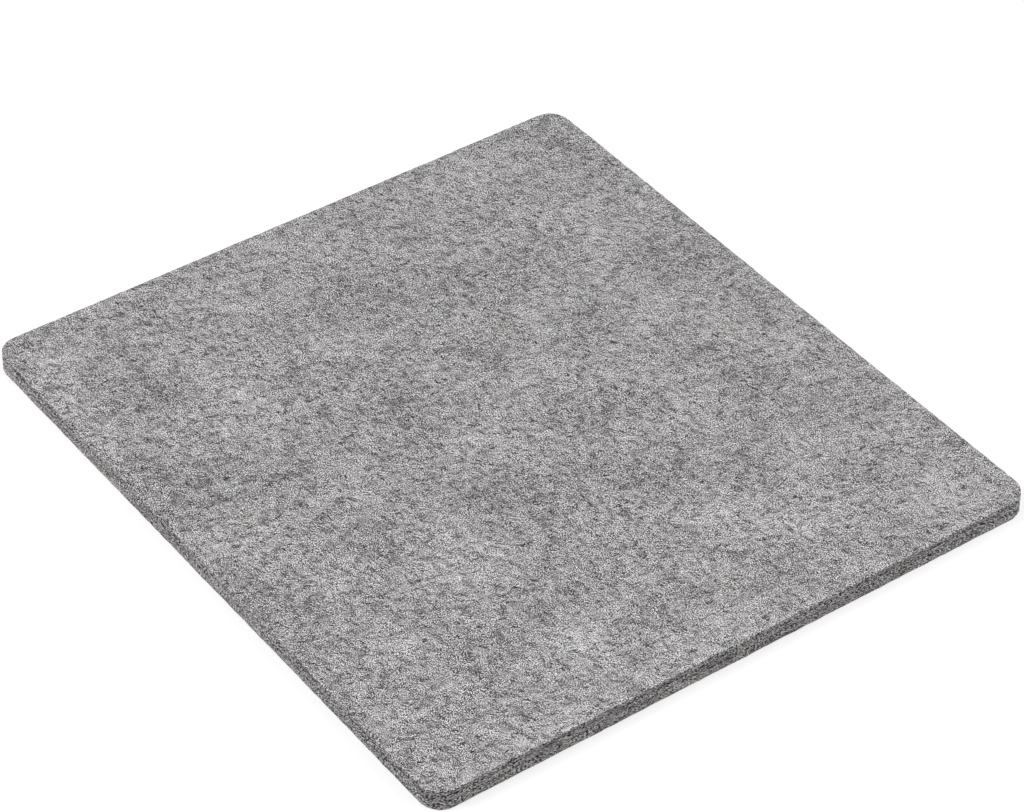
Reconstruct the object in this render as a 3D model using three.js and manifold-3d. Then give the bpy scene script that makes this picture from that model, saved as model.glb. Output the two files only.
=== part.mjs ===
// Ironing pad: plies of pressed wool felt, bonded face to face into one thick slab with rounded corners.
// Millimetres, +Z up. The origin is the middle of the underside. X runs along the shorter side of the slab
// and Y along the longer side.

import * as THREE from 'three';
import { mergeVertices } from 'three/addons/utils/BufferGeometryUtils.js';
import Module from 'manifold-3d';

const wasm = await Module();
wasm.setup();

// Plan of the slab
const PAD_WIDTH = 381;
const PAD_LENGTH = 423;
const CORNER_RADIUS = 13;

// Thickness of each layer, from the pressing face down
const TOP_PLY_THICKNESS = 2.8;
const MIDDLE_PLY_THICKNESS = 3.55;
const BASE_PLY_THICKNESS = 5.95;
const WEB_THICKNESS = 0.16;

// Hairline between a web and the felt that it bonds
const BOND_CLEARANCE = 0.02;

// How far the webs stop short of the cut side, which leaves an open seam between the plies
const WEB_SETBACK = 2;

// Rounding of the long edges: the pressing face, the underside and both lips of each seam
const FACE_EDGE_RADIUS = 0.8;
const UNDERSIDE_EDGE_RADIUS = 1.2;
const SEAM_EDGE_RADIUS = 0.6;

// Facets on a quarter turn of a corner and of a rounded edge
const CORNER_FACETS = 14;
const EDGE_FACETS = 5;

// Finish of the felt and of the bonding web
const FELT_ROUGHNESS = 1;
const WEB_ROUGHNESS = 0.6;
const TOP_FELT_GREY = 0x9c9a9b;
const MIDDLE_FELT_GREY = 0x848283;
const BASE_FELT_GREY = 0x8b8783;
const WEB_WHITE = 0xc9c7c2;

// Rounded rectangle of the pad's plan, drawn in all round by setback.
function planOutline(setback) {
  const radius = CORNER_RADIUS - setback;
  const x = PAD_WIDTH / 2 - CORNER_RADIUS;
  const y = PAD_LENGTH / 2 - CORNER_RADIUS;
  const quarter = Math.PI / 2;
  const outline = new THREE.Shape();
  outline.absarc(x, y, radius, 0, quarter);
  outline.absarc(-x, y, radius, quarter, 2 * quarter);
  outline.absarc(-x, -y, radius, 2 * quarter, 3 * quarter);
  outline.absarc(x, -y, radius, 3 * quarter, 4 * quarter);
  return outline;
}

// Slab of the whole plan from one height to another, with the edges of both faces rounded.
function roundedSlab(bottom, top, edgeRadius) {
  const slab = new THREE.ExtrudeGeometry(planOutline(0), {
    depth: top - bottom - 2 * edgeRadius,
    curveSegments: CORNER_FACETS / 2,
    bevelEnabled: true,
    bevelThickness: edgeRadius,
    bevelSize: edgeRadius,
    bevelOffset: -edgeRadius,
    bevelSegments: EDGE_FACETS,
  });
  return slab.translate(0, 0, bottom + edgeRadius);
}

// Closed solid of a geometry, with its shared vertices merged.
function toSolid(geometry) {
  geometry.deleteAttribute('normal');
  geometry.deleteAttribute('uv');
  const merged = mergeVertices(geometry);
  const mesh = new wasm.Mesh({
    numProp: 3,
    vertProperties: merged.getAttribute('position').array,
    triVerts: Uint32Array.from(merged.getIndex().array),
  });
  return new wasm.Manifold(mesh);
}

function toGeometry(solid) {
  const mesh = solid.getMesh();
  const geometry = new THREE.BufferGeometry();
  geometry.setAttribute('position', new THREE.BufferAttribute(mesh.vertProperties, 3));
  geometry.setIndex(new THREE.BufferAttribute(mesh.triVerts, 1));
  geometry.computeVertexNormals();
  return geometry;
}

// Felt ply that stands on Z 0, with its own rounding on its lower and on its upper edge. Two slabs share the
// cut side: one carries the upper edge and runs on below the ply, the other the lower edge and runs on above.
function feltPly(thickness, lowerEdgeRadius, upperEdgeRadius) {
  const upperSlab = toSolid(roundedSlab(-2 * upperEdgeRadius, thickness, upperEdgeRadius));
  const lowerSlab = toSolid(roundedSlab(0, thickness + 2 * lowerEdgeRadius, lowerEdgeRadius));
  return toGeometry(upperSlab.intersect(lowerSlab));
}

// Thin bonding web that stands on Z 0.
function bondingWeb() {
  return new THREE.ExtrudeGeometry(planOutline(WEB_SETBACK), {
    depth: WEB_THICKNESS,
    curveSegments: CORNER_FACETS / 2,
    bevelEnabled: false,
  });
}

function felt(grey) {
  return new THREE.MeshStandardMaterial({ color: grey, roughness: FELT_ROUGHNESS, metalness: 0 });
}

function web() {
  return new THREE.MeshStandardMaterial({ color: WEB_WHITE, roughness: WEB_ROUGHNESS, metalness: 0 });
}

// The layers as they are laid up, from the underside to the pressing face.
const layers = [
  {
    name: 'base_felt_ply',
    thickness: BASE_PLY_THICKNESS,
    geometry: feltPly(BASE_PLY_THICKNESS, UNDERSIDE_EDGE_RADIUS, SEAM_EDGE_RADIUS),
    material: felt(BASE_FELT_GREY),
  },
  { name: 'lower_bonding_web', thickness: WEB_THICKNESS, geometry: bondingWeb(), material: web() },
  {
    name: 'middle_felt_ply',
    thickness: MIDDLE_PLY_THICKNESS,
    geometry: feltPly(MIDDLE_PLY_THICKNESS, SEAM_EDGE_RADIUS, SEAM_EDGE_RADIUS),
    material: felt(MIDDLE_FELT_GREY),
  },
  { name: 'upper_bonding_web', thickness: WEB_THICKNESS, geometry: bondingWeb(), material: web() },
  {
    name: 'top_felt_ply',
    thickness: TOP_PLY_THICKNESS,
    geometry: feltPly(TOP_PLY_THICKNESS, SEAM_EDGE_RADIUS, FACE_EDGE_RADIUS),
    material: felt(TOP_FELT_GREY),
  },
];

const pad = new THREE.Group();
let height = 0;
for (const layer of layers) {
  const mesh = new THREE.Mesh(layer.geometry, layer.material);
  mesh.name = layer.name;
  mesh.position.z = height;
  pad.add(mesh);
  height += layer.thickness + BOND_CLEARANCE;
}

export default pad;
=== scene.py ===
"""Ironing pad: three plies of heathered wool felt, bonded face to face into one thick slab.

Lengths are in metres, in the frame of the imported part. The origin is the middle of the underside, X runs
along the shorter side of the slab, Y along the longer side and Z up to the pressing face.
"""

import itertools
import logging
import math
from dataclasses import dataclass
from enum import Enum
from typing import Iterator, Mapping, Sequence, Union

import bpy
import numpy as np
from mathutils import Matrix, Vector


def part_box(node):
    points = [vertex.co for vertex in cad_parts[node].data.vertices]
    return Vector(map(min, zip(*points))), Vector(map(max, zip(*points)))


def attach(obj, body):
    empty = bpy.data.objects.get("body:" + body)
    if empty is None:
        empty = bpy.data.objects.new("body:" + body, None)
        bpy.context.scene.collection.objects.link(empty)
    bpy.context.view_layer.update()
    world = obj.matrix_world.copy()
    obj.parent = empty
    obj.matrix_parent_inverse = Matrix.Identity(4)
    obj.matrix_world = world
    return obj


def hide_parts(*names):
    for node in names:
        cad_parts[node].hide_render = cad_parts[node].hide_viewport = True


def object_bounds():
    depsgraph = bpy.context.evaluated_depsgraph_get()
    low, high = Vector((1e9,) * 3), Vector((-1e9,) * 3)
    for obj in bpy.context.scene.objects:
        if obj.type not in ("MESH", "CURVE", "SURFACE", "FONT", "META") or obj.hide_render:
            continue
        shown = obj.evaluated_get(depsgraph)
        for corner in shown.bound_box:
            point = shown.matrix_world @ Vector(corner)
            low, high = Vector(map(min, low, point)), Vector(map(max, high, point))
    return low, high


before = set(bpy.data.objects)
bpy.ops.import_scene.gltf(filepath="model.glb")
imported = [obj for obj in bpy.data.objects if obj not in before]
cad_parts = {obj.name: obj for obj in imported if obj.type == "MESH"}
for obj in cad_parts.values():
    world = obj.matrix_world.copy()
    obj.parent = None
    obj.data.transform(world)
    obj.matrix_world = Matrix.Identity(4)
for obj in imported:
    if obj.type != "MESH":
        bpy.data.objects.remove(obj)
CAD_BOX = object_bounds()

LOG = logging.getLogger("ironing_pad")

MM = 0.001
QUARTER = math.pi / 2
BODY = "root"

# Names of the maps and masks that the meshes carry
PLAN_MAP = "felt_plan"
BAKE_MAP = "OFBake"
# The cut mask is 0 on a face and 1 on the cut side, and rises past 1 on the lips of the seams, where it
# carries painted shade
CUT_MASK = "cut_side"
STRAND_SHADE = "wool_shade"

# Direction in which most of the felt's fibres run, from X towards Y, and how far they turn from it in all
GRAIN_TURN = math.radians(-46)
GRAIN_SPREAD = 0.64 * math.pi

# Turn of the noises against the pad's edges, and how much finer each layer of a noise is than the last
NOISE_TURN = math.radians(23)
NOISE_STEP = 2.3

# Direction of the pad's diagonal, along which the mix of wools becomes less even
DIAGONAL_TURN = math.radians(48)

# Turn of each layer of fibre cells against the one below, as a share of a quarter turn, and its shift aside
LEAN_STEP = 0.618
SHEET_STEP = (37.3, 71.9, 0.0)

# Form of one fibre: its greatest bow as a share of its half length, where its ends start to fade, and where
# its full tone ends and its halo ends, as shares of its half width; then the draws for its darkest and its
# lightest tone. The halo is painted shadow round a light fibre and a light ring round a dark one
FIBRE_BOW = 0.18
FIBRE_SHOULDER = 0.7
FIBRE_CORE = 0.4
FIBRE_HALO = 2.2
FIBRE_DRAWS = (0.1, 0.85)

# Middle of a noise, of a draw and of the scale of tones, which all run from 0 to 1
HALF = 0.5

Colour = tuple[float, float, float]
Feed = Union[bpy.types.NodeSocket, float, Sequence[float]]


class Facing(Enum):
    """Which face of a ply is an outer face of the pad."""

    UP = "pressing face"
    DOWN = "underside"
    INNER = "none"


class NodeGraph:
    """Adds nodes to a node tree and joins them."""

    def __init__(self, tree: bpy.types.NodeTree) -> None:
        """Starts from an empty tree."""
        self.tree = tree
        tree.nodes.clear()

    def add(self, kind: str, feeds: Mapping[Union[str, int], Feed], **settings: object) -> bpy.types.Node:
        """Adds one node.

        Args:
            kind: Blender's name of the node type.
            feeds: What goes into each input, a socket to link from or a plain value.
            **settings: Properties of the node itself.

        Returns:
            The new node.
        """
        node = self.tree.nodes.new(kind)
        for name, value in settings.items():
            setattr(node, name, value)
        for name, value in feeds.items():
            if isinstance(value, bpy.types.NodeSocket):
                self.tree.links.new(value, node.inputs[name])
            else:
                node.inputs[name].default_value = value
        return node

    def math(self, operation: str, *values: Feed) -> bpy.types.NodeSocket:
        """Adds a Math node and returns its result."""
        return self.add("ShaderNodeMath", dict(enumerate(values)), operation=operation).outputs[0]

    def vector(self, operation: str, *values: Feed) -> bpy.types.NodeSocket:
        """Adds a Vector Math node of two vectors and returns its result."""
        return self.add("ShaderNodeVectorMath", dict(enumerate(values)), operation=operation).outputs[0]

    def ease(
        self, value: Feed, start: Feed, end: Feed, low: Feed = 0.0, high: Feed = 1.0
    ) -> bpy.types.NodeSocket:
        """Adds a smooth step.

        Args:
            value: What is mapped.
            start: Where the result is low.
            end: Where the result is high.
            low: The result at start and before it.
            high: The result at end and past it.

        Returns:
            The mapped value.
        """
        feeds = {0: value, 1: start, 2: end, 3: low, 4: high}
        return self.add("ShaderNodeMapRange", feeds, interpolation_type="SMOOTHSTEP").outputs[0]

    def blend(self, share: Feed, low: Feed, high: Feed) -> bpy.types.NodeSocket:
        """Adds a mix of two numbers and returns its result."""
        return self.add("ShaderNodeMix", {0: share, 2: low, 3: high}, data_type="FLOAT").outputs[0]

    def colours(self, share: Feed, low: Feed, high: Feed, how: str = "MIX") -> bpy.types.NodeSocket:
        """Adds a mix of two colours and returns its result."""
        feeds = {0: share, 6: low, 7: high}
        return self.add("ShaderNodeMix", feeds, data_type="RGBA", blend_type=how).outputs[2]

    def noise(
        self, place: Feed, size: float, detail: float, roughness: float, output: Union[str, int] = 0
    ) -> bpy.types.NodeSocket:
        """Adds a flat noise.

        Args:
            place: Where it is read, in millimetres.
            size: The size of its largest patches, in millimetres.
            detail: How many finer layers it has.
            roughness: How strong each finer layer is beside the one before.
            output: Which output of the node is wanted, the first one for a number or "Color".

        Returns:
            The noise, from 0 to 1.
        """
        feeds = {"Vector": place, "Scale": 1 / size, "Detail": detail, "Roughness": roughness}
        feeds["Lacunarity"] = NOISE_STEP
        return self.add("ShaderNodeTexNoise", feeds, noise_dimensions="2D").outputs[output]

    def turn(self, place: Feed, angle: Feed) -> bpy.types.NodeSocket:
        """Turns a place about the upright axis, by an angle in radians, and returns it."""
        feeds = {"Vector": place, "Angle": angle}
        return self.add("ShaderNodeVectorRotate", feeds, rotation_type="Z_AXIS").outputs[0]

    def plan_place(self, shift: float) -> bpy.types.NodeSocket:
        """Adds the place on the unfolded felt.

        Args:
            shift: How far it is moved aside along both axes, in millimetres.

        Returns:
            The place, in millimetres.
        """
        plan = self.add("ShaderNodeUVMap", {}, uv_map=PLAN_MAP).outputs[0]
        scaled = self.add("ShaderNodeVectorMath", {0: plan, "Scale": 1 / MM}, operation="SCALE").outputs[0]
        return self.vector("ADD", scaled, (shift, shift, 0))


class MaterialGraph(NodeGraph):
    """The nodes of one new material."""

    def __init__(self, name: str) -> None:
        """Makes the material.

        Args:
            name: The material's name.
        """
        self.material = bpy.data.materials.new(name)
        self.material.use_nodes = True
        super().__init__(self.material.node_tree)

    def finished(self, shader: bpy.types.Node) -> bpy.types.Material:
        """Joins the shader to the surface and returns the material."""
        self.add("ShaderNodeOutputMaterial", {0: shader.outputs[0]})
        return self.material


@dataclass(frozen=True)
class Swell:
    """One layer of unevenness: its strength, and the size of its swells along X and Y and along Z."""

    strength: float
    along: float
    up: float


class Unevenness:
    """Smooth random unevenness in space, the same on every run."""

    LATTICE = 256
    OFF_LATTICE = 0.37

    def __init__(self, seed: int) -> None:
        """Draws the slopes of the lattice.

        Args:
            seed: The start of the random draws.
        """
        draw = np.random.default_rng(seed)
        self.order = draw.permutation(self.LATTICE)
        slopes = draw.normal(size=(self.LATTICE, 3))
        self.slopes = slopes / np.linalg.norm(slopes, axis=1, keepdims=True)

    def at(self, places: np.ndarray, along: float, up: float) -> np.ndarray:
        """Height of the unevenness at some places.

        Args:
            places: N points in metres.
            along: Size of one swell along X and Y, in metres.
            up: Size of one swell along Z, in metres.

        Returns:
            N heights, mostly between -1 and 1.
        """
        cells = places / (along, along, up) + self.OFF_LATTICE
        corners = np.floor(cells).astype(int)
        inside = cells - corners
        eased = inside**3 * (inside * (inside * 6 - 15) + 10)
        height = np.zeros(len(places))
        for step in itertools.product((0, 1), repeat=3):
            column, row, layer = ((corners + step) % self.LATTICE).T
            line = self.order[(self.order[column] + row) % self.LATTICE]
            slope = self.slopes[self.order[(line + layer) % self.LATTICE]]
            share = np.prod(np.where(step, eased, 1 - eased), axis=1)
            height += share * np.sum(slope * (inside - step), axis=1)
        return 2 * height

    def sum(self, places: np.ndarray, swells: Sequence[Swell]) -> np.ndarray:
        """Height of several layers of unevenness together at some places."""
        return sum(swell.strength * self.at(places, swell.along, swell.up) for swell in swells)


@dataclass(frozen=True)
class PadPlan:
    """Plan of the slab, a rectangle with rounded corners, and the net of points that covers it."""

    half_width: float
    half_length: float
    corner_radius: float = 13 * MM
    corner_patch: float = 26 * MM
    columns: int = 240
    rows: int = 264

    def net(self, setback: float) -> tuple[np.ndarray, np.ndarray]:
        """Points of the net over the plan, drawn in all round.

        In each corner patch the net's squares turn into arcs, so that its rim follows the rounded corner.

        Args:
            setback: How far the outline is drawn in.

        Returns:
            The points, row by row, and the outward direction at each, both N x 2.
        """
        half = np.array([self.half_width, self.half_length]) - setback
        across = np.linspace(-half[0], half[0], self.columns + 1)
        along = np.linspace(-half[1], half[1], self.rows + 1)
        points = np.stack(np.meshgrid(across, along), axis=-1).reshape(-1, 2)
        signs = np.where(points < 0, -1, 1)
        depths = np.abs(points) - (half - self.corner_patch)
        in_patch = (depths > 0).all(axis=1)
        leads = depths[:, 0] >= depths[:, 1]
        reach = np.where(in_patch, depths.max(axis=1), self.corner_patch)
        start = np.where(in_patch, depths.min(axis=1), 0) / reach
        radius = (self.corner_radius - setback) * (reach / self.corner_patch) ** 2
        straight = reach - radius
        travel = start * (straight + radius * math.pi / 4)
        turn = np.clip(travel - straight, 0, None) / radius
        ahead = straight + radius * np.cos(turn)
        aside = np.where(turn > 0, straight + radius * np.sin(turn), travel)
        rounded = signs * (half - self.corner_patch + self.lead_first(leads, ahead, aside))
        outward = signs * self.lead_first(leads, np.cos(turn), np.sin(turn))
        return np.where(in_patch[:, None], rounded, points), outward

    @staticmethod
    def lead_first(leads: np.ndarray, ahead: np.ndarray, aside: np.ndarray) -> np.ndarray:
        """Pairs of numbers, with the first one on X where X leads and on Y elsewhere."""
        pair = np.column_stack([ahead, aside])
        return np.where(leads[:, None], pair, pair[:, ::-1])

    def numbers(self) -> np.ndarray:
        """The numbers of the net's points, row by row."""
        return np.arange((self.rows + 1) * (self.columns + 1)).reshape(self.rows + 1, -1)

    def squares(self) -> list[list[int]]:
        """Joins the net's points to squares.

        Returns:
            The squares, anticlockwise from above, as numbers of points.
        """
        number = self.numbers()
        corners = (number[:-1, :-1], number[:-1, 1:], number[1:, 1:], number[1:, :-1])
        return np.stack(corners, axis=-1).reshape(-1, 4).tolist()

    def rim(self) -> np.ndarray:
        """The numbers of the net's outermost points, anticlockwise from above."""
        number = self.numbers()
        return np.concatenate([number[0, :-1], number[:-1, -1], number[-1, :0:-1], number[:0:-1, 0]])

    def outline(self, setback: float) -> tuple[np.ndarray, np.ndarray]:
        """Finds the net's outermost points.

        Args:
            setback: How far the outline is drawn in.

        Returns:
            The points, anticlockwise from above, and the outward direction at each, both N x 2.
        """
        points, outward = self.net(setback)
        rim = self.rim()
        return points[rim], outward[rim]

    def run(self) -> np.ndarray:
        """Measures the way along the outline.

        Returns:
            The way to each of its points, and all round to the first one again.
        """
        outline, _ = self.outline(0.0)
        steps = np.linalg.norm(np.roll(outline, -1, axis=0) - outline, axis=1)
        return np.concatenate([[0], np.cumsum(steps)])

    def holds(self, points: np.ndarray) -> np.ndarray:
        """Finds which points of the plane lie inside the outline.

        Args:
            points: The points, with X and Y on the last axis.

        Returns:
            True for each point inside.
        """
        half = np.array([self.half_width, self.half_length])
        past_straight = np.clip(np.abs(points) - (half - self.corner_radius), 0, None)
        return np.linalg.norm(past_straight, axis=-1) < self.corner_radius


@dataclass(frozen=True)
class FeltFinish:
    """Heathered wool felt: short light and dark fibres in every direction, gathered in small tufts.

    Sizes of fibres, tufts and clouds are in millimetres. A tone is a place on the scale of wool shades,
    from 0, the darkest wool, to 1, the lightest.
    """

    name: str
    shift: float
    # Tone of the cut side: partly the darker fibre ends, partly painted shade of the fibres shading each
    # other
    cut_tint_and_shade: Colour = (0.86, 0.854, 0.850)
    darkest: Colour = (0.022, 0.021, 0.022)
    dark: Colour = (0.105, 0.102, 0.104)
    middle: Colour = (0.330, 0.322, 0.327)
    lightest: Colour = (0.770, 0.756, 0.763)
    cream: Colour = (0.560, 0.530, 0.470)
    russet: Colour = (0.330, 0.235, 0.205)
    speck: Colour = (0.015, 0.013, 0.012)
    dark_tone: float = 0.30
    middle_tone: float = 0.60
    mean_tone: float = 0.582
    contrast: float = 1.14
    contrast_swing: float = 0.45
    contrast_size: float = 9.0
    contrast_range: tuple[float, float] = (0.3, 0.7)
    mix_drift: float = 0.20
    mix_reach: tuple[float, float] = (-300.0, 300.0)
    light_edge: float = 0.048
    light_reach: tuple[float, float] = (-211.0, -40.0)
    tuft_size: float = 6.0
    tuft_strength: float = 0.9
    cloud_size: float = 45.0
    cloud_strength: float = 0.62
    broad_share: float = 0.76
    wave_size: float = 2.6
    wave_depth: float = 0.5
    bundle_cells: tuple[float, ...] = (10.0, 7.0, 5.5)
    bundle_width: float = 1.4
    bundle_tones: tuple[float, float] = (-0.27, 0.11)
    bundle_base: float = 0.42
    bundle_cover: float = 0.7
    dash_cells: tuple[float, ...] = (2.7, 2.35, 2.1, 1.85, 1.7, 1.55, 1.45)
    hair_cells: tuple[float, ...] = (8.0, 7.0)
    fleck_cell: float = 8.0
    dash_width: float = 0.31
    dash_taper: float = 0.2
    dash_reach: float = 0.43
    dash_cover: tuple[float, float] = (0.75, 1.0)
    hair_width: float = 0.34
    hair_cover: float = 0.75
    long_reach: float = 0.6
    fleck_width: float = 0.55
    fleck_cover: float = 0.6
    fleck_length: float = 1.9
    fleck_tones: tuple[float, float] = (-0.4, 0.7)
    # Strength of the fibres' halos: painted shadow round a light fibre, a light ring round a dark one
    halo: float = 0.86
    grain_size: float = 0.52
    grain_stretch: float = 1.77
    grain_strength: float = 2.3
    cut_grain: float = 3.2
    raised_layers: int = 3
    cream_size: float = 11.0
    cream_share: float = 0.5
    cream_start: tuple[float, float] = (0.62, 0.78)
    cream_tones: tuple[float, float] = (0.4, 0.8)
    cream_shift: tuple[float, float, float] = (511.0, 137.0, 0.0)
    russet_size: float = 5.0
    russet_share: float = 0.35
    russet_start: tuple[float, float] = (0.68, 0.80)
    russet_shift: tuple[float, float, float] = (277.0, 613.0, 0.0)
    tint_size: float = 7.0
    tint_strength: float = 0.09
    speck_gap: float = 62.0
    speck_radius: float = 0.55
    speck_cover: float = 0.9
    # Painted shade in the grooves between plies: how far the lips of the seams are darkened towards black
    seam_painted_shade: float = 0.38
    roughness: tuple[float, float] = (0.98, 0.86)
    roughness_tones: tuple[float, float] = (0.1, 0.9)
    specular: float = 0.12
    strand_roughness: tuple[float, float] = (0.9, 0.7)
    strand_specular: float = 0.2
    bump_depth: float = 0.10 * MM

    def ramp(self, graph: NodeGraph, tone: Feed) -> bpy.types.NodeSocket:
        """Adds the wool's colours.

        Args:
            graph: The material's nodes.
            tone: The tone that is read.

        Returns:
            The colour.
        """
        node = graph.add("ShaderNodeValToRGB", {0: tone})
        stops = node.color_ramp.elements
        stops[0].color = (*self.darkest, 1)
        stops[1].color = (*self.lightest, 1)
        stops.new(self.dark_tone).color = (*self.dark, 1)
        stops.new(self.middle_tone).color = (*self.middle, 1)
        return node.outputs[0]

    @staticmethod
    def lay(graph: NodeGraph, under: Sequence[Feed], **feeds: Feed) -> tuple[Feed, Feed]:
        """Adds one layer of fibres.

        Args:
            graph: The material's nodes.
            under: The tone and the height of what lies under it.
            **feeds: The other inputs of the layer.

        Returns:
            The tone and the height with the layer on top.
        """
        named = {name.replace("_", " ").title(): value for name, value in feeds.items()}
        named.update({"Tone": under[0], "Height": under[1]})
        group = graph.add("ShaderNodeGroup", named, node_tree=fibre_layer_group())
        return group.outputs[0], group.outputs[1]

    def grain(self, graph: NodeGraph, place: Feed, rough: Feed) -> bpy.types.NodeSocket:
        """Adds the fine grain of the fibres' ends and of the gaps between them.

        Args:
            graph: The material's nodes.
            place: The place on the felt, in millimetres.
            rough: 0 on a face and 1 on the cut side.

        Returns:
            What the grain adds to the tone.
        """
        stretch = (1.0, 1 / self.grain_stretch, 1.0)
        drawn_out = graph.vector("MULTIPLY", graph.turn(place, -GRAIN_TURN), stretch)
        noise = graph.noise(drawn_out, self.grain_size, detail=0.0, roughness=0.5)
        fine = graph.math("SUBTRACT", noise, HALF)
        return graph.math("MULTIPLY", fine, graph.blend(rough, self.grain_strength, self.cut_grain))

    def drift(self, graph: NodeGraph, rough: Feed) -> tuple[Feed, Feed]:
        """Adds the slow change of the wool across the sheet.

        Args:
            graph: The material's nodes.
            rough: 0 on a face and 1 on the cut side, where there is no such change.

        Returns:
            What the lighter edge adds to the tone, and the share of the fibres' contrast.
        """
        plan = graph.plan_place(0.0)
        length = graph.add("ShaderNodeSeparateXYZ", {0: plan}).outputs[1]
        light = graph.ease(length, *self.light_reach, self.light_edge, 0.0)
        diagonal = graph.add("ShaderNodeSeparateXYZ", {0: graph.turn(plan, -DIAGONAL_TURN)}).outputs[0]
        mix = graph.ease(diagonal, *self.mix_reach, 1 - self.mix_drift, 1 + self.mix_drift)
        return graph.blend(rough, light, 0.0), graph.blend(rough, mix, 1.0)

    def fibres(self, graph: NodeGraph, place: Feed, rough: Feed) -> tuple[Feed, Feed]:
        """Adds the felt's fibres, layer over layer, from coarse bundles below to fine fibres on top.

        Args:
            graph: The material's nodes.
            place: The place on the felt, in millimetres.
            rough: 0 on a face and 1 on the cut side.

        Returns:
            The tone of the felt and the height of its fibres, from 0 to 1.
        """
        turned = graph.turn(place, NOISE_TURN)
        wave = graph.noise(turned, self.wave_size, detail=1.0, roughness=0.5, output="Color")
        wave = graph.vector("SUBTRACT", wave, (HALF, HALF, HALF))
        place = graph.vector("MULTIPLY_ADD", wave, (self.wave_depth, self.wave_depth, 0), place)
        tufts = graph.noise(turned, self.tuft_size, detail=3.0, roughness=0.7)
        tufts = graph.math("SUBTRACT", tufts, HALF)
        clouds = graph.noise(turned, self.cloud_size, detail=2.0, roughness=0.5)
        clouds = graph.math("MULTIPLY", graph.math("SUBTRACT", clouds, HALF), self.cloud_strength)
        bias = graph.math("MULTIPLY_ADD", tufts, self.tuft_strength, clouds)
        sheets = itertools.count(1)

        def beside() -> dict[str, Feed]:
            """Finds another stretch of felt for each layer.

            Returns:
                Its place, and the angle by which its cells are turned.
            """
            sheet = next(sheets)
            moved = graph.vector("ADD", place, tuple(sheet * step for step in SHEET_STEP))
            return {"place": moved, "lean": QUARTER * (sheet * LEAN_STEP % 1)}

        plain = {"bias": 0.0, "level": 0.0, "halo": 0.0}
        low, high = self.bundle_tones
        for cell in self.bundle_cells:
            bias, _ = self.lay(graph, (bias, 0.0), cell=cell, half_length=self.long_reach * cell,
                               half_width=self.bundle_width, cover=self.bundle_cover, low=low, high=high,
                               **plain, **beside())
        tone = graph.math("ADD", bias, self.bundle_base)
        height = 0.0
        hairs = iter(self.hair_cells)
        sparse, dense = self.dash_cover
        for layer, cell in enumerate(self.dash_cells):
            rise = layer / len(self.dash_cells)
            shared = {"bias": bias, "level": rise, "halo": self.halo, "low": 0.0, "high": 1.0}
            hair = next(hairs, None) if layer % 2 else None
            if hair is not None:
                tone, _ = self.lay(graph, (tone, 0.0), cell=hair, half_length=self.long_reach * hair,
                                   half_width=self.hair_width, cover=self.hair_cover,
                                   **shared, **beside())
            width = self.dash_width * (1 - self.dash_taper * rise)
            cover = sparse + (dense - sparse) * rise
            tone, raised = self.lay(graph, (tone, height), cell=cell, half_length=self.dash_reach * cell,
                                    half_width=width, cover=cover, **shared, **beside())
            if layer >= len(self.dash_cells) - self.raised_layers:
                height = raised
        low, high = self.fleck_tones
        tone, _ = self.lay(graph, (tone, 0.0), cell=self.fleck_cell, half_length=self.fleck_length,
                           half_width=self.fleck_width, cover=self.fleck_cover, low=low, high=high,
                           **plain, **beside())
        light, mix = self.drift(graph, rough)
        broad = graph.math("MULTIPLY_ADD", bias, self.broad_share, graph.math("ADD", light, HALF))
        spread = graph.math("MULTIPLY", graph.math("SUBTRACT", tone, self.mean_tone), self.contrast)
        spread = graph.math("ADD", spread, self.grain(graph, beside()["place"], rough))
        turned = graph.turn(place, -NOISE_TURN)
        patches = graph.noise(turned, self.contrast_size, detail=1.0, roughness=0.5)
        least, most = 1 - self.contrast_swing, 1 + self.contrast_swing
        swing = graph.ease(patches, *self.contrast_range, least, most)
        return graph.math("MULTIPLY_ADD", spread, graph.math("MULTIPLY", swing, mix), broad), height

    def heather(self, graph: NodeGraph, place: Feed, tone: Feed) -> bpy.types.NodeSocket:
        """Adds the wool's colours, with some cream and russet wool, a change of tint and a few dark specks.

        Args:
            graph: The material's nodes.
            place: The place on the felt, in millimetres.
            tone: The tone of the felt.

        Returns:
            The colour.
        """
        colour = self.ramp(graph, tone)
        turned = graph.turn(place, NOISE_TURN)
        moved = graph.vector("ADD", turned, self.cream_shift)
        cream = graph.noise(moved, self.cream_size, detail=2.0, roughness=0.6)
        cream = graph.ease(cream, *self.cream_start, 0.0, self.cream_share)
        cream = graph.math("MULTIPLY", cream, graph.ease(tone, *self.cream_tones))
        colour = graph.colours(cream, colour, (*self.cream, 1))
        moved = graph.vector("ADD", turned, self.russet_shift)
        russet = graph.noise(moved, self.russet_size, detail=2.0, roughness=0.6)
        russet = graph.ease(russet, *self.russet_start, 0.0, self.russet_share)
        colour = graph.colours(russet, colour, (*self.russet, 1))
        tint = graph.noise(turned, self.tint_size, detail=2.0, roughness=0.7, output="Color")
        depth = (self.tint_strength,) * 3
        tint = graph.vector("MULTIPLY_ADD", tint, depth, (1 - HALF * self.tint_strength,) * 3)
        colour = graph.colours(1.0, colour, tint, "MULTIPLY")
        feeds = {"Vector": place, "Scale": 1 / self.speck_gap}
        near = graph.add("ShaderNodeTexVoronoi", feeds, voronoi_dimensions="2D").outputs["Distance"]
        edge = self.speck_radius / self.speck_gap
        speck = graph.ease(near, HALF * edge, edge, self.speck_cover, 0.0)
        return graph.colours(speck, colour, (*self.speck, 1))

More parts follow.
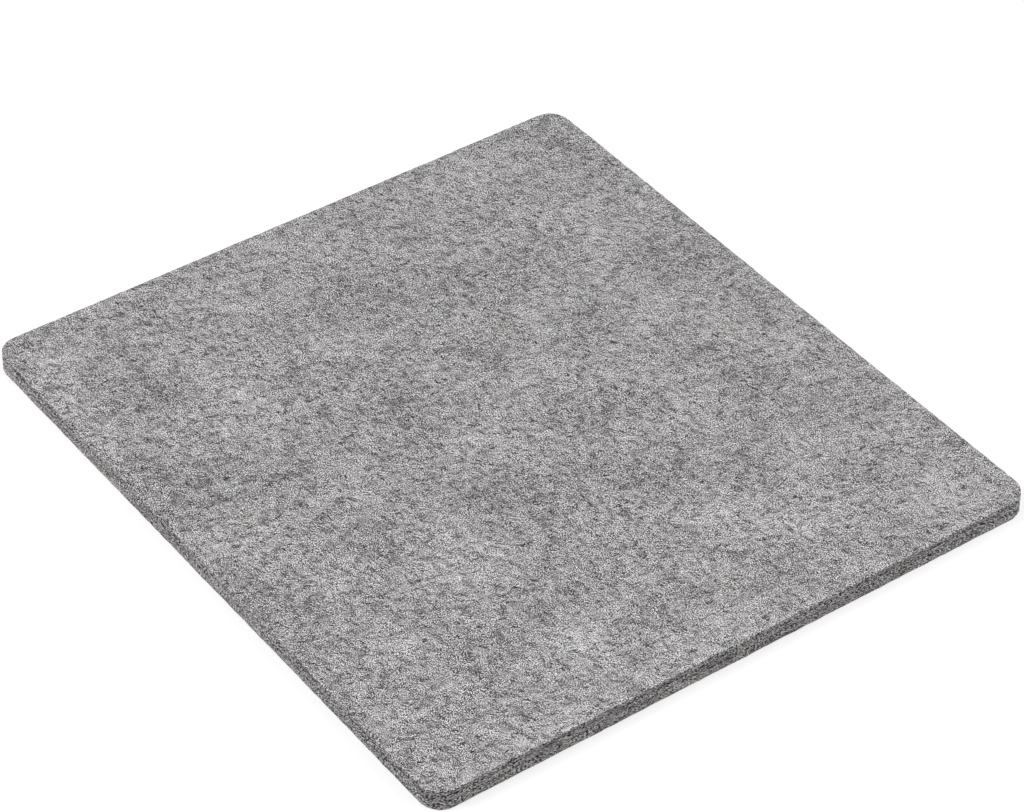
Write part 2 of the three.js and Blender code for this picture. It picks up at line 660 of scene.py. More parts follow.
    def felt(self) -> bpy.types.Material:
        """Makes the felt of a ply's faces and cut side.

        Returns:
            The material.
        """
        graph = MaterialGraph(self.name)
        place = graph.plan_place(self.shift)
        cut = graph.add("ShaderNodeAttribute", {}, attribute_name=CUT_MASK).outputs["Fac"]
        on_side = graph.math("MINIMUM", cut, 1.0)
        tone, height = self.fibres(graph, place, on_side)
        colour = self.heather(graph, place, tone)
        # The cut side is darkened, partly for its darker fibre ends and partly as painted shade
        colour = graph.colours(on_side, colour, (*self.cut_tint_and_shade, 1), "MULTIPLY")
        # Painted shade: the lips of the seams between plies are darkened towards black, where the grooves
        # lie in shade
        lip = graph.math("SUBTRACT", cut, 1.0)
        painted_lip_shade = graph.math("MULTIPLY", graph.math("MAXIMUM", lip, 0.0), self.seam_painted_shade)
        colour = graph.colours(painted_lip_shade, colour, (0.0, 0.0, 0.0, 1))
        bump = graph.add("ShaderNodeBump", {"Height": height, "Distance": self.bump_depth, "Strength": 1.0})
        shader = graph.add("ShaderNodeBsdfPrincipled", {
            "Base Color": colour,
            "Roughness": graph.ease(tone, *self.roughness_tones, *self.roughness),
            "Normal": bump.outputs[0],
            "Specular IOR Level": self.specular,
        })
        return graph.finished(shader)

    def strands(self) -> bpy.types.Material:
        """Makes the wool of the loose fibres, one shade to a strand.

        Returns:
            The material.
        """
        graph = MaterialGraph(f"{self.name}_strand")
        shade = graph.add("ShaderNodeAttribute", {}, attribute_name=STRAND_SHADE).outputs["Fac"]
        shader = graph.add("ShaderNodeBsdfPrincipled", {
            "Base Color": self.ramp(graph, shade),
            "Roughness": graph.ease(shade, 0.0, 1.0, *self.strand_roughness),
            "Specular IOR Level": self.strand_specular,
        })
        return graph.finished(shader)


def fibre_layer_group() -> bpy.types.NodeTree:
    """Nodes that lay one layer of short curved fibres over what lies under it, one fibre to a cell.

    Returns:
        The node group, made at the first call.
    """
    name = "felt_fibre_layer"
    if name in bpy.data.node_groups:
        return bpy.data.node_groups[name]
    tree = bpy.data.node_groups.new(name, "ShaderNodeTree")
    graph = NodeGraph(tree)
    tree.interface.new_socket("Place", in_out="INPUT", socket_type="NodeSocketVector")
    sizes = ("Lean", "Cell", "Half Length", "Half Width", "Cover", "Halo", "Low", "High")
    for socket in ("Tone", "Height", "Bias", "Level", *sizes):
        tree.interface.new_socket(socket, in_out="INPUT", socket_type="NodeSocketFloat")
    for socket in ("Tone", "Height"):
        tree.interface.new_socket(socket, in_out="OUTPUT", socket_type="NodeSocketFloat")
    given = graph.add("NodeGroupInput", {}).outputs
    place = graph.turn(given["Place"], given["Lean"])
    feeds = {"Vector": place, "Scale": graph.math("DIVIDE", 1.0, given["Cell"])}
    cell = graph.add("ShaderNodeTexVoronoi", feeds, voronoi_dimensions="2D", feature="F1")
    draws = graph.add("ShaderNodeSeparateColor", {0: cell.outputs["Color"]})
    turn_draw, shade_draw, bow_draw = draws.outputs
    offset = graph.vector("SUBTRACT", place, cell.outputs["Position"])
    turn = graph.math("MULTIPLY_ADD", turn_draw, GRAIN_SPREAD, -GRAIN_TURN - HALF * GRAIN_SPREAD)
    turned = graph.turn(offset, graph.math("SUBTRACT", turn, given["Lean"]))
    along, across, _ = graph.add("ShaderNodeSeparateXYZ", {0: turned}).outputs
    bow = graph.math("MULTIPLY_ADD", bow_draw, 2 * FIBRE_BOW, -FIBRE_BOW)
    bow = graph.math("DIVIDE", bow, given["Half Length"])
    curved = graph.math("MULTIPLY_ADD", graph.math("MULTIPLY", along, along), bow, across)
    core = graph.math("MULTIPLY", given["Half Width"], FIBRE_CORE)
    body = graph.ease(graph.math("ABSOLUTE", curved), core, given["Half Width"], 1.0, 0.0)
    shoulder = graph.math("MULTIPLY", given["Half Length"], FIBRE_SHOULDER)
    ends = graph.ease(graph.math("ABSOLUTE", along), shoulder, given["Half Length"], 1.0, 0.0)
    mask = graph.math("MULTIPLY", graph.math("MULTIPLY", body, ends), given["Cover"])
    drawn = graph.math("ADD", shade_draw, given["Bias"])
    shade = graph.ease(drawn, *FIBRE_DRAWS, given["Low"], given["High"])
    # Round each fibre a ring of the opposite tone: painted shadow round a light fibre, a light ring round a
    # dark one
    wide = graph.math("MULTIPLY", given["Half Width"], FIBRE_HALO)
    near = graph.ease(graph.math("ABSOLUTE", curved), given["Half Width"], wide, 1.0, 0.0)
    border = graph.math("MULTIPLY", graph.math("SUBTRACT", near, body), ends)
    contrast = graph.math("MULTIPLY", graph.math("SUBTRACT", HALF, shade), given["Halo"])
    tone = graph.math("MULTIPLY_ADD", border, contrast, graph.blend(mask, given["Tone"], shade))
    height = graph.blend(mask, given["Height"], given["Level"])
    graph.add("NodeGroupOutput", {0: tone, 1: height})
    return tree


@dataclass(frozen=True)
class WebFinish:
    """Fusible web: a thin pale fleece of melted fibres."""

    name: str
    thread: Colour = (0.62, 0.61, 0.58)
    gap: Colour = (0.40, 0.39, 0.37)
    mesh_size: float = 1.8
    thread_edge: tuple[float, float] = (0.02, 0.16)
    roughness: tuple[float, float] = (0.75, 0.55)
    bump_depth: float = 0.05 * MM

    def fleece(self) -> bpy.types.Material:
        """Makes the web's material.

        Returns:
            The material.
        """
        graph = MaterialGraph(self.name)
        feeds = {"Vector": graph.plan_place(0.0), "Scale": 1 / self.mesh_size}
        cell = graph.add("ShaderNodeTexVoronoi", feeds, voronoi_dimensions="2D", feature="DISTANCE_TO_EDGE")
        thread = graph.ease(cell.outputs["Distance"], *self.thread_edge, 1.0, 0.0)
        bump = graph.add("ShaderNodeBump", {"Height": thread, "Distance": self.bump_depth})
        shader = graph.add("ShaderNodeBsdfPrincipled", {
            "Base Color": graph.colours(thread, (*self.gap, 1), (*self.thread, 1)),
            "Roughness": graph.ease(thread, 0.0, 1.0, *self.roughness),
            "Normal": bump.outputs[0],
        })
        return graph.finished(shader)


class Piece:
    """Turns arrays of points and faces into an object of the scene."""

    def __init__(self, name: str, points: np.ndarray, faces: list[list[int]]) -> None:
        """Makes the mesh.

        Args:
            name: The piece's name.
            points: Its vertices, N x 3.
            faces: Its faces, as numbers of vertices.
        """
        self.mesh = bpy.data.meshes.new(name)
        self.mesh.from_pydata(points.tolist(), [], faces)
        self.mesh.polygons.foreach_set("use_smooth", [len(face) <= 4 for face in faces])

    def corners(self) -> np.ndarray:
        """Reads the corners of the faces.

        Returns:
            The vertex at each corner of each face, in the order of the faces.
        """
        corners = np.empty(len(self.mesh.loops), dtype=np.int32)
        self.mesh.loops.foreach_get("vertex_index", corners)
        return corners

    def add_map(self, name: str, places: np.ndarray) -> None:
        """Adds a UV map, with a place for each corner of each face."""
        layer = self.mesh.uv_layers.new(name=name)
        layer.uv.foreach_set("vector", places.astype(np.float32).ravel())

    def add_mask(self, name: str, values: np.ndarray) -> None:
        """Adds a number for each vertex."""
        mask = self.mesh.attributes.new(name, "FLOAT", "POINT")
        mask.data.foreach_set("value", values.astype(np.float32))

    def place(self, material: bpy.types.Material, slot: str) -> bpy.types.Object:
        """Puts the piece into the scene, fixed to the pad's body.

        Args:
            material: Its finish.
            slot: The record's material slot that it belongs to.

        Returns:
            The object.
        """
        self.mesh.update()
        self.mesh.materials.append(material)
        piece = bpy.data.objects.new(self.mesh.name, self.mesh)
        bpy.context.scene.collection.objects.link(piece)
        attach(piece, BODY)
        LOG.info("%s: %d faces, slot %s", piece.name, len(self.mesh.polygons), slot)
        return piece


@dataclass(frozen=True)
class ProfileRing:
    """One ring of a ply's cut side: how far it stands out, its height, tilt and way from the rim."""

    out: float
    height: float
    tilt: float
    travel: float


@dataclass
class FeltPly:
    """One ply of felt, with its outer face, its rough cut side and the rounded lips of its seams."""

    node: str
    slot: str
    facing: Facing
    plan: PadPlan
    finish: FeltFinish
    seed: int
    face_edge: float
    lip_edge: float = 0.6 * MM
    edge_steps: int = 4
    wall_step: float = 0.45 * MM
    side_draw: float = 0.4
    side_press: float = 1.67
    face_give: float = 0.10 * MM
    side_give: float = 0.25 * MM
    face_swells: tuple[Swell, ...] = (
        Swell(0.5, 38 * MM, 38 * MM),
        Swell(0.6, 8 * MM, 8 * MM),
        Swell(0.4, 3.6 * MM, 3.6 * MM),
    )
    side_swells: tuple[Swell, ...] = (Swell(0.7, 9 * MM, 2.6 * MM), Swell(0.55, 3.6 * MM, 1.1 * MM))
    underside_sunk: float = 2.4
    cap_patch: float = 0.006
    cap_fill: float = 0.45
    strip_rows: int = 16
    strip_fill: float = 0.94

    def __post_init__(self) -> None:
        """Takes the ply's heights from its CAD node."""
        low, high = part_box(self.node)
        self.bottom = low[2]
        self.top = high[2]
        self.noise = Unevenness(self.seed)
        self.sunk = self.underside_sunk if self.facing is Facing.DOWN else 0.0

    @property
    def has_face(self) -> bool:
        """Whether one face of the ply is an outer face of the pad."""
        return self.facing is not Facing.INNER

    def profile(self) -> Iterator[ProfileRing]:
        """Rings of the cut side, from just past the rim of the outer face to the hidden face.

        Yields:
            The rings. Heights count from the hidden face.
        """
        thickness = self.top - self.bottom
        for step in range(1, self.edge_steps + 1):
            turn = QUARTER * step / self.edge_steps
            out = self.face_edge * (math.sin(turn) - 1)
            height = thickness - self.face_edge * (1 - math.cos(turn))
            yield ProfileRing(out, height, QUARTER - turn, self.face_edge * turn)
        wall = thickness - self.face_edge - self.lip_edge
        edge_travel = self.face_edge * QUARTER
        wall_steps = max(1, round(wall / self.wall_step))
        for step in range(1, wall_steps + 1):
            down = wall * step / wall_steps
            height = thickness - self.face_edge - down
            yield ProfileRing(0.0, height, 0.0, edge_travel + down)
        wall_travel = edge_travel + wall
        for step in range(1, self.edge_steps + 1):
            turn = QUARTER * step / self.edge_steps
            out = self.lip_edge * (math.cos(turn) - 1)
            height = self.lip_edge * (1 - math.sin(turn))
            yield ProfileRing(out, height, -turn, wall_travel + self.lip_edge * turn)

    def swell(self, places: np.ndarray, tilts: np.ndarray) -> np.ndarray:
        """How far the felt stands off its plain shape.

        Args:
            places: N points on the plain shape.
            tilts: The tilt of the surface at each, a quarter turn on a face and 0 on the cut side.

        Returns:
            N distances along the surface's outward direction.
        """
        face = self.face_give * (self.noise.sum(places, self.face_swells) - self.sunk)
        side = self.side_give * self.noise.sum(places, self.side_swells)
        upright = np.cos(tilts)
        return face * (1 - upright) + side * upright

    def shape(self) -> tuple[np.ndarray, np.ndarray, np.ndarray]:
        """Vertices of the ply: its outer face, or the rim of its upper face, and then ring after ring.

        Returns:
            The points, the place of each on the unfolded felt and the tilt of the surface at each.
        """
        net, outward = self.plan.net(self.face_edge)
        rim = self.plan.rim()
        level = net if self.has_face else net[rim]
        thickness = self.top - self.bottom
        places = [np.column_stack([level, np.full(len(level), thickness)])]
        normals = [np.tile([0.0, 0.0, 1.0], (len(level), 1))]
        maps = [level]
        tilts = [np.full(len(level), QUARTER)]
        gives = [np.full(len(level), float(self.has_face))]
        for ring in self.profile():
            column = np.ones(len(rim))
            outline = net[rim] + outward[rim] * (self.face_edge + ring.out)
            places.append(np.column_stack([outline, ring.height * column]))
            level_part = outward[rim] * math.cos(ring.tilt)
            normals.append(np.column_stack([level_part, math.sin(ring.tilt) * column]))
            maps.append(net[rim] + outward[rim] * ring.travel)
            tilts.append(ring.tilt * column)
            on_lip = ring.tilt < 0 or not self.has_face
            gives.append((math.cos(ring.tilt) if on_lip else 1.0) * column)
        places, normals, tilts = np.vstack(places), np.vstack(normals), np.concatenate(tilts)
        if self.facing is Facing.DOWN:
            places[:, 2] = thickness - places[:, 2]
            normals[:, 2] *= -1
        places[:, 2] += self.bottom
        stand_off = np.concatenate(gives) * self.swell(places, tilts)
        return places + normals * stand_off[:, None], np.vstack(maps), tilts

    def faces(self, vertices: int) -> list[list[int]]:
        """Faces of the ply: its outer face or upper cap, the cut side and the hidden cap.

        Args:
            vertices: How many vertices the ply has.

        Returns:
            The faces, as numbers of vertices.
        """
        rim = self.plan.rim()
        count = len(rim)
        first_loop = rim if self.has_face else np.arange(count)
        first_ring = (self.plan.rows + 1) * (self.plan.columns + 1) if self.has_face else count
        rings = np.arange(first_ring, vertices).reshape(-1, count)
        faces = self.plan.squares() if self.has_face else [first_loop.tolist()]
        for upper, lower in itertools.pairwise([first_loop, *rings]):
            faces += np.column_stack([upper, lower, np.roll(lower, -1), np.roll(upper, -1)]).tolist()
        faces.append(rings[-1, ::-1].tolist())
        if self.facing is Facing.DOWN:
            faces = [face[::-1] for face in faces]
        return faces

    def side_map(self) -> np.ndarray:
        """Unfolds the cut side, with its fibres drawn out along the edge.

        Returns:
            The place of each corner of the side's faces on the felt.
        """
        run = self.side_draw * self.plan.run()
        depth = self.side_press * np.array([0.0, *(ring.travel for ring in self.profile())])
        columns = len(run) - 1
        ring, column = np.divmod(np.arange(columns * (len(depth) - 1)), columns)
        order = ((0, 0), (1, 0), (1, 1), (0, 1))
        if self.facing is Facing.DOWN:
            order = order[::-1]
        ahead = np.array([math.cos(GRAIN_TURN), math.sin(GRAIN_TURN)])
        aside = np.array([-ahead[1], ahead[0]])
        corners = []
        for down, right in order:
            along, across = run[column + right], depth[ring + down]
            corners.append(np.outer(along, ahead) + np.outer(across, aside))
        return np.stack(corners, axis=1).reshape(-1, 2)

    def face_map(self, corners: np.ndarray, maps: np.ndarray) -> np.ndarray:
        """Fits the unfolded face and cut side into the unit square, with the hidden cap in a free corner.

        Args:
            corners: The vertex of each face corner.
            maps: The place of each vertex on the unfolded felt.

        Returns:
            The place of each face corner in the square.
        """
        reach = np.abs(maps).max(axis=0)
        square = 0.5 + 0.5 * maps[corners] / reach
        count = len(self.plan.rim())
        square[-count:] *= self.cap_patch
        return square

    def strip_map(self, corners: np.ndarray) -> np.ndarray:
        """Lays the cut side of a ply with no outer face out in rows, with its caps in small patches.

        Args:
            corners: The vertex of each face corner.

        Returns:
            The place of each face corner in the unit square.
        """
        count = len(self.plan.rim())
        in_row = count // self.strip_rows
        share = 1 - self.cap_patch
        quads = np.arange((len(corners) - 2 * count) // 4)
        ring, column = np.divmod(quads, count)
        row, place = np.divmod(column, in_row)
        rings = ring.max() + 1
        strips = np.empty((len(quads), 4, 2))
        for corner, (right, down) in enumerate(((0, 0), (0, 1), (1, 1), (1, 0))):
            strips[:, corner, 0] = (place + right) / in_row
            strips[:, corner, 1] = (row + self.strip_fill * (ring + down) / rings) / self.strip_rows * share
        turn = np.linspace(0, 2 * math.pi, count, endpoint=False)
        cap = self.cap_fill * self.cap_patch * (1 + np.column_stack([np.cos(turn), np.sin(turn)]))
        return np.vstack([cap + (0, share), strips.reshape(-1, 2), cap + (0.5, share)])

    def build(self) -> bpy.types.Object:
        """Builds the ply as a closed mesh and puts it in place of its CAD solid.

        Returns:
            The ply.
        """
        points, maps, tilts = self.shape()
        piece = Piece(f"{self.node}_felt", points, self.faces(len(points)))
        corners = piece.corners()
        places = maps[corners]
        sides = self.side_map()
        cap = len(self.plan.rim())
        places[-cap - len(sides):-cap] = sides
        piece.add_map(PLAN_MAP, places)
        piece.add_map(BAKE_MAP, self.face_map(corners, maps) if self.has_face else self.strip_map(corners))
        # The mask is 0 on the outer face, 1 on the cut side and past 1 on the lips of the seams, which get
        # painted shade
        turned_in = np.abs(np.sin(tilts))
        on_lip = (tilts < 0) | (not self.has_face)
        piece.add_mask(CUT_MASK, np.where(on_lip, 1 + turned_in, 1 - turned_in))
        ply = piece.place(self.finish.felt(), self.slot)
        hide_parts(self.node)
        return ply


@dataclass
class Nap:
    """Loose wool fibres of one ply, on its outer face and on its cut side, each a thin closed strand."""

    ply: FeltPly
    face_strands: int
    side_strands: int
    seed: int
    radius: float = 0.06 * MM
    face_length: tuple[float, float] = (3 * MM, 10 * MM)
    side_length: tuple[float, float] = (1.2 * MM, 4 * MM)
    lift: float = 0.30 * MM
    lift_range: tuple[float, float] = (0.2, 1.0)
    sink: float = 0.04 * MM
    curl: float = 1.1
    slant: float = 0.5
    stations: int = 6
    sides: int = 3
    dark_share: float = 0.45
    shade_margin: float = 0.02
    shade_range: float = 0.2
    shade_step: float = 0.002

    def __post_init__(self) -> None:
        """Starts the strands' own run of random draws."""
        self.draw = np.random.default_rng(self.seed)

    def paths(self, count: int, lengths: tuple[float, float], headings: np.ndarray) -> np.ndarray:
        """Curved paths of strands on a flat sheet, from their starts at the origin.

        Args:
            count: How many strands there are.
            lengths: The shortest and the longest strand.
            headings: The direction of each strand.

        Returns:
            The stations of each strand, count x stations x 2.
        """
        reach = self.draw.uniform(*lengths, count)
        curl = self.draw.normal(0, self.curl, count)
        along = np.linspace(-0.5, 0.5, self.stations)
        turns = headings[:, None] + curl[:, None] * along
        steps = np.stack([np.cos(turns), np.sin(turns)], axis=-1) * (reach / self.stations)[:, None, None]
        return np.cumsum(steps, axis=1)

    def arch(self, count: int) -> np.ndarray:
        """How high each station stands off the felt: the ends are sunk in it and the middle is lifted."""
        rise = np.sin(np.linspace(0, math.pi, self.stations))
        return self.draw.uniform(*self.lift_range, count)[:, None] * self.lift * rise - self.sink

    def on_face(self) -> tuple[np.ndarray, np.ndarray]:
        """Strands that lie on the ply's outer face.

        Returns:
            The stations of each strand and the outward direction at each.
        """
        plan = self.ply.plan
        half = np.array([plan.half_width, plan.half_length]) - 2 * self.ply.face_edge
        starts = self.draw.uniform(-half, half, (self.face_strands, 2))
        headings = self.draw.uniform(0, 2 * math.pi, self.face_strands)
        flat = starts[:, None] + self.paths(self.face_strands, self.face_length, headings)
        arch = self.arch(self.face_strands)
        if self.ply.facing is Facing.DOWN:
            arch = np.minimum(arch, self.sink)
        inside = plan.holds(flat / (1 - self.ply.face_edge / plan.half_width)).all(axis=1)
        flat, arch = flat[inside], arch[inside]
        up = 1.0 if self.ply.facing is Facing.UP else -1.0
        level = self.ply.top if up > 0 else self.ply.bottom
        places = np.concatenate([flat, np.full((*flat.shape[:2], 1), level)], axis=-1)
        swell = self.ply.swell(places.reshape(-1, 3), np.full(places[..., 0].size, QUARTER))
        normals = np.zeros_like(places)
        normals[..., 2] = up
        return places + normals * (arch + swell.reshape(arch.shape))[..., None], normals

    def on_side(self) -> tuple[np.ndarray, np.ndarray]:
        """Strands that lie on the ply's cut side, most of them along it.

        Returns:
            The stations of each strand and the outward direction at each.
        """
        ply = self.ply
        outline, outward = ply.plan.outline(0.0)
        ring = np.vstack([outline, outline[:1]])
        directions = np.vstack([outward, outward[:1]])
        run = ply.plan.run()
        lower_edge = ply.face_edge if ply.facing is Facing.DOWN else ply.lip_edge
        upper_edge = ply.face_edge if ply.facing is Facing.UP else ply.lip_edge
        low, high = ply.bottom + lower_edge, ply.top - upper_edge
        count = self.side_strands
        paths = self.paths(count, self.side_length, self.draw.normal(0, self.slant, count))
        travel = (self.draw.uniform(0, run[-1], count)[:, None] + paths[..., 0]) % run[-1]
        height = np.clip(self.draw.uniform(low, high, count)[:, None] + paths[..., 1], low, high)
        flat = [np.interp(travel, run, ring[:, axis]) for axis in (0, 1)]
        places = np.stack([*flat, height], axis=-1)
        leaning = [np.interp(travel, run, directions[:, axis]) for axis in (0, 1)]
        normals = np.stack([*leaning, np.zeros_like(height)], axis=-1)
        normals /= np.linalg.norm(normals, axis=-1, keepdims=True)
        swell = ply.swell(places.reshape(-1, 3), np.zeros(places[..., 0].size))
        return places + normals * (self.arch(count) + swell.reshape(height.shape))[..., None], normals

    def tubes(self, centres: np.ndarray, normals: np.ndarray) -> np.ndarray:
        """Vertices of the strands: the first tip, the rings between and the last tip.

        Args:
            centres: The stations of each strand.
            normals: The outward direction at each.

        Returns:
            The vertices of each strand, strands x vertices x 3.
        """
        tangents = np.gradient(centres, axis=1)
        tangents /= np.linalg.norm(tangents, axis=-1, keepdims=True)
        aside = np.cross(tangents, normals)
        aside /= np.linalg.norm(aside, axis=-1, keepdims=True)
        upward = np.cross(aside, tangents)
        rings = []
        for side in range(self.sides):
            turn = 2 * math.pi * side / self.sides
            rings.append(centres + self.radius * (upward * math.cos(turn) + aside * math.sin(turn)))
        rings = np.stack(rings, axis=2)[:, 1:-1]
        return np.concatenate([centres[:, :1], rings.reshape(len(centres), -1, 3), centres[:, -1:]], axis=1)

    def strand_faces(self) -> list[list[int]]:
        """Joins the vertices of one strand.

        Returns:
            The faces, as numbers of the strand's vertices.
        """
        rings = self.stations - 2
        last = 1 + rings * self.sides
        faces = []
        for side in range(self.sides):
            here, there = 1 + side, 1 + (side + 1) % self.sides
            faces.append([0, there, here])
            for step in range(0, (rings - 1) * self.sides, self.sides):
                after = step + self.sides
                faces.append([here + step, there + step, there + after, here + after])
            step = (rings - 1) * self.sides
            faces.append([here + step, there + step, last])
        return faces

    def build(self) -> bpy.types.Object:
        """Builds the strands as one piece on their ply.

        Returns:
            The nap.
        """
        groups = [self.on_side()]
        if self.ply.has_face:
            groups.append(self.on_face())
        tubes = np.concatenate([self.tubes(*group) for group in groups])
        strands, size, _ = tubes.shape
        firsts = range(0, strands * size, size)
        pattern = self.strand_faces()
        faces = [[first + corner for corner in face] for first in firsts for face in pattern]
        dark = self.draw.random(strands) < self.dark_share
        tone = self.shade_margin + self.draw.uniform(0, self.shade_range, strands)
        shades = np.where(dark, tone, 1 - tone)
        piece = Piece(f"{self.ply.node}_nap", tubes.reshape(-1, 3), faces)
        last = self.stations - 1
        side = np.concatenate([[0], np.tile(np.arange(self.sides), last - 1), [1]])
        station = np.concatenate([[0], np.repeat(np.arange(1, last), self.sides), [last]])
        across = shades[:, None] + self.shade_step * side
        along = np.broadcast_to(station / last, across.shape)
        maps = np.stack([across, along], axis=-1).reshape(-1, 2)
        piece.add_map(BAKE_MAP, maps[piece.corners()])
        piece.add_mask(STRAND_SHADE, np.repeat(shades, size))
        return piece.place(self.ply.finish.strands(), self.ply.slot)


@dataclass
class BondingWeb:
    """Fusible web between two plies, a thin sheet with an uneven edge that stops short of the cut side."""

    node: str
    lies_on: str
    plan: PadPlan
    finish: WebFinish
    seed: int
    edge_give: float = 0.5 * MM
    edge_size: float = 6 * MM
    edge_strip: float = 0.02
    strip_fill: float = 0.8
    sheet_fill: float = 0.49

    def build(self) -> bpy.types.Object:
        """Builds the web as a thin closed sheet and puts it in place of its CAD solid.

        Returns:
            The web.
        """
        low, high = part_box(self.node)
        setback = self.plan.half_width - high[0]
        outline, outward = self.plan.outline(setback)
        count = len(outline)
        level = np.column_stack([outline, np.zeros(count)])
        ragged = Unevenness(self.seed).at(level, self.edge_size, self.edge_size)
        outline = outline - outward * self.edge_give * np.abs(ragged)[:, None]
        upper = np.column_stack([outline, np.full(count, high[2])])
        lower = np.column_stack([outline, np.full(count, low[2])])
        loop = np.arange(count)
        walls = np.column_stack([loop, loop + count, np.roll(loop, -1) + count, np.roll(loop, -1)])
        faces = [loop.tolist(), *walls.tolist(), (loop[::-1] + count).tolist()]
        piece = Piece(f"{self.node}_fleece", np.vstack([upper, lower]), faces)
        plan_map = np.vstack([outline, outline])[piece.corners()]
        piece.add_map(PLAN_MAP, plan_map)
        half = np.array([self.plan.half_width, self.plan.half_length])
        sheet = (self.sheet_fill, 1 - self.edge_strip)
        bake = (0.5 + 0.5 * plan_map / half) * sheet + (0, self.edge_strip)
        bake[-count:, 0] += 0.5
        wall_along = np.stack([loop, loop, loop + 1, loop + 1], axis=1).ravel() / count
        wall_up = np.tile([self.strip_fill, 0, 0, self.strip_fill], count) * self.edge_strip
        bake[count:-count] = np.column_stack([wall_along, wall_up])
        piece.add_map(BAKE_MAP, bake)
        web = piece.place(self.finish.fleece(), "bonding_web")
        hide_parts(self.node)
        return web


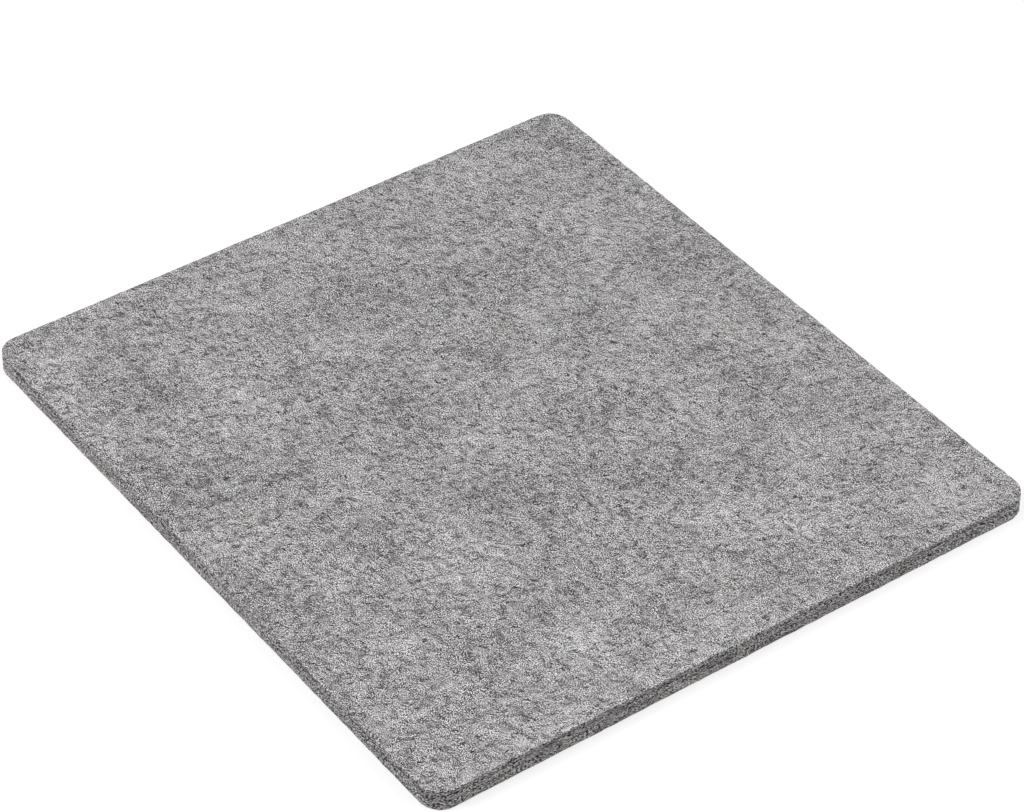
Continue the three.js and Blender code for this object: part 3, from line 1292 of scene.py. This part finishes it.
@dataclass(frozen=True)
class Studio:
    """Floor, light and camera for the pictures."""

    floor_half: float = 6.0
    floor_seen: Colour = (0.4, 0.4, 0.4)
    floor_bounce: Colour = (0.50, 0.50, 0.50)
    floor_glow: float = 0.6
    lit_reach: tuple[float, float] = (0.9, 2.6)
    world_strength: float = 0.40
    box_size: float = 1.8
    box_distance: float = 2.6
    box_elevation: float = 42.0
    box_aside: float = 80.0
    left_power: float = 64.0
    right_power: float = 47.0
    target: tuple[float, float, float] = (10.8 * MM, 4.6 * MM, 12.7 * MM)
    azimuth: float = -35.66
    elevation: float = 40.20
    distance: float = 2.081
    lens: float = 136.1

    def seen(self, graph: NodeGraph) -> bpy.types.NodeSocket:
        """Adds a switch between what the camera sees and what only the light meets.

        Args:
            graph: The nodes of the floor or of the room.

        Returns:
            1 where the camera sees the surface, directly or in gloss, and 0 elsewhere.
        """
        path = graph.add("ShaderNodeLightPath", {}).outputs
        gloss = graph.math("MAXIMUM", path["Is Glossy Ray"], path["Is Transmission Ray"])
        return graph.math("MAXIMUM", path["Is Camera Ray"], gloss)

    def glow(self, graph: NodeGraph) -> bpy.types.NodeSocket:
        """Adds the floor's own white, which is full where the lamps no longer reach.

        Args:
            graph: The floor's nodes.

        Returns:
            The strength of the white.
        """
        place = graph.add("ShaderNodeNewGeometry", {}).outputs["Position"]
        away = graph.add("ShaderNodeVectorMath", {0: place}, operation="LENGTH").outputs["Value"]
        return graph.ease(away, *self.lit_reach, self.floor_glow, 1.0)

    def floor(self) -> None:
        """Lays a white floor that keeps the pad's shadow and throws back less light than it shows."""
        half = self.floor_half
        mesh = bpy.data.meshes.new("studio_floor")
        corners = [(-half, -half, 0), (half, -half, 0), (half, half, 0), (-half, half, 0)]
        mesh.from_pydata(corners, [], [(0, 1, 2, 3)])
        graph = MaterialGraph("studio_white")
        colour = graph.colours(self.seen(graph), (*self.floor_bounce, 1), (*self.floor_seen, 1))
        white = graph.add("ShaderNodeBsdfDiffuse", {"Color": colour})
        strength = graph.math("MULTIPLY", self.seen(graph), self.glow(graph))
        glow = graph.add("ShaderNodeEmission", {"Strength": strength})
        both = graph.add("ShaderNodeAddShader", {0: white.outputs[0], 1: glow.outputs[0]})
        mesh.materials.append(graph.finished(both))
        floor = bpy.data.objects.new("studio_floor", mesh)
        bpy.context.scene.collection.objects.link(floor)

    def world(self) -> None:
        """Fills the room with even white light, on a white background."""
        world = bpy.data.worlds.new("studio_room")
        world.use_nodes = True
        graph = NodeGraph(world.node_tree)
        strength = graph.blend(self.seen(graph), self.world_strength, 1.0)
        background = graph.add("ShaderNodeBackground", {"Color": (1, 1, 1, 1), "Strength": strength})
        graph.add("ShaderNodeOutputWorld", {0: background.outputs[0]})
        bpy.context.scene.world = world

    def soft_box(self, name: str, aside: float, power: float) -> None:
        """Sets up one soft box that shines on the pad.

        Args:
            name: The lamp's name.
            aside: Its direction from the pad, in degrees round from where the camera stands.
            power: Its power in watts.
        """
        light = bpy.data.lights.new(name, "AREA")
        light.size = self.box_size
        light.energy = power
        lamp = bpy.data.objects.new(name, light)
        lamp.location = self.direction(self.azimuth + aside, self.box_elevation) * self.box_distance
        lamp.rotation_euler = Vector(lamp.location).to_track_quat("Z", "Y").to_euler()
        bpy.context.scene.collection.objects.link(lamp)

    @staticmethod
    def direction(azimuth: float, elevation: float) -> Vector:
        """Direction from the pad to a viewer, from angles in degrees. Azimuth 0 looks along +Y."""
        turn, lift = math.radians(azimuth), math.radians(elevation)
        return Vector((math.sin(turn) * math.cos(lift), -math.cos(turn) * math.cos(lift), math.sin(lift)))

    def camera(self) -> None:
        """Sets the camera at the angle and distance of the photograph."""
        back = self.direction(self.azimuth, self.elevation)
        right = self.direction(self.azimuth + 90, 0)
        turn = Matrix((right, back.cross(right), back)).transposed().to_4x4()
        camera = bpy.data.objects.new("camera", bpy.data.cameras.new("camera"))
        camera.data.lens = self.lens
        camera.matrix_world = Matrix.Translation(Vector(self.target) + back * self.distance) @ turn
        bpy.context.scene.collection.objects.link(camera)
        bpy.context.scene.camera = camera

    def set_up(self) -> None:
        """Sets up the whole studio."""
        bpy.context.scene.view_settings.view_transform = "Standard"
        self.camera()
        self.floor()
        self.world()
        self.soft_box("left_soft_box", -self.box_aside, self.left_power)
        self.soft_box("right_soft_box", self.box_aside, self.right_power)


def main() -> None:
    """Builds the studio, the plies with their nap and the webs, from the underside up."""
    logging.basicConfig(level=logging.INFO)
    Studio().set_up()
    _, high = CAD_BOX
    plan = PadPlan(high[0], high[1])
    wool = FeltFinish("base_felt", shift=410.0, cut_tint_and_shade=(0.87, 0.853, 0.828))
    base = FeltPly("base_felt_ply", wool.name, Facing.DOWN, plan, wool, seed=11, face_edge=1.2 * MM)
    wool = FeltFinish("middle_felt", shift=820.0)
    middle = FeltPly("middle_felt_ply", wool.name, Facing.INNER, plan, wool, seed=12, face_edge=0.6 * MM)
    wool = FeltFinish("top_felt", shift=1230.0, cut_tint_and_shade=(0.82, 0.814, 0.810))
    top = FeltPly("top_felt_ply", wool.name, Facing.UP, plan, wool, seed=13, face_edge=0.35 * MM)
    for ply, face_strands, side_strands in ((base, 2500, 2500), (middle, 0, 1500), (top, 6500, 1200)):
        ply.build()
        Nap(ply, face_strands, side_strands, seed=ply.seed + 20).build()
    BondingWeb("lower_bonding_web", base.node, plan, WebFinish("lower_fusible_web"), seed=31).build()
    BondingWeb("upper_bonding_web", middle.node, plan, WebFinish("upper_fusible_web"), seed=32).build()


if __name__ == "__main__":
    main()
